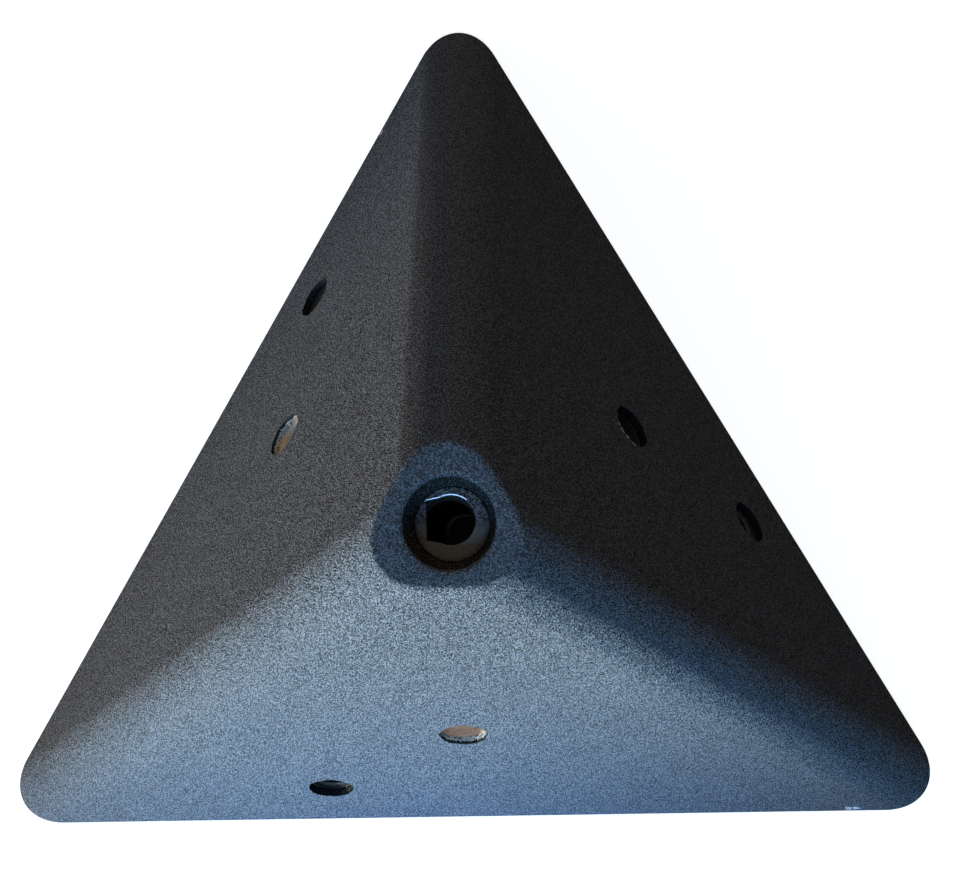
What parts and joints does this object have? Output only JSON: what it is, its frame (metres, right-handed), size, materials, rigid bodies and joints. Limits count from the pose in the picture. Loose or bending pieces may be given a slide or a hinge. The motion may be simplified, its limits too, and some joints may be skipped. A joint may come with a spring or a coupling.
{
  "type": "climbing volume",
  "caption": "Hollow pyramid climbing volume of sand-coated glass-fibre laminate, bolted to a wall through its flat tip, with threaded inserts in its faces for holds.",
  "frame": {"origin": "middle of the outer box on the wall plane; the bolt's axis is 34.773 mm from it towards -Y", "axes": "+Z away from the wall, along the fixing bolt; -Y towards the front face; +X to the right as the picture shows it"},
  "size_m": [0.263, 0.2312, 0.125],
  "materials": {
    "coated_laminate": "black sand-textured coat on glass-fibre laminate",
    "plywood": "bare birch plywood",
    "zinc_steel": "zinc-plated steel",
    "dark_steel": "black-finished steel with coat overspray"
  },
  "bodies": {
    "root": {"shell": "coated_laminate", "bolt_washer": "dark_steel", "bolt_sleeve": "zinc_steel", "tip_block": "plywood", "brace_hub": "plywood", "liner_front": "plywood", "brace_arm_front": "plywood", "tee_nut_front_inner": "zinc_steel", "tee_nut_screw_front_inner_1": "zinc_steel", "tee_nut_screw_front_inner_2": "zinc_steel", "tee_nut_screw_front_inner_3": "zinc_steel", "tee_nut_front_outer": "zinc_steel", "tee_nut_screw_front_outer_1": "zinc_steel", "tee_nut_screw_front_outer_2": "zinc_steel", "tee_nut_screw_front_outer_3": "zinc_steel", "liner_right": "plywood", "brace_arm_right": "plywood", "tee_nut_right_inner": "zinc_steel", "tee_nut_screw_right_inner_1": "zinc_steel", "tee_nut_screw_right_inner_2": "zinc_steel", "tee_nut_screw_right_inner_3": "zinc_steel", "tee_nut_right_outer": "zinc_steel", "tee_nut_screw_right_outer_1": "zinc_steel", "tee_nut_screw_right_outer_2": "zinc_steel", "tee_nut_screw_right_outer_3": "zinc_steel", "liner_left": "plywood", "brace_arm_left": "plywood", "tee_nut_left_inner": "zinc_steel", "tee_nut_screw_left_inner_1": "zinc_steel", "tee_nut_screw_left_inner_2": "zinc_steel", "tee_nut_screw_left_inner_3": "zinc_steel", "tee_nut_left_outer": "zinc_steel", "tee_nut_screw_left_outer_1": "zinc_steel", "tee_nut_screw_left_outer_2": "zinc_steel", "tee_nut_screw_left_outer_3": "zinc_steel"}
  },
  "joints": []
}
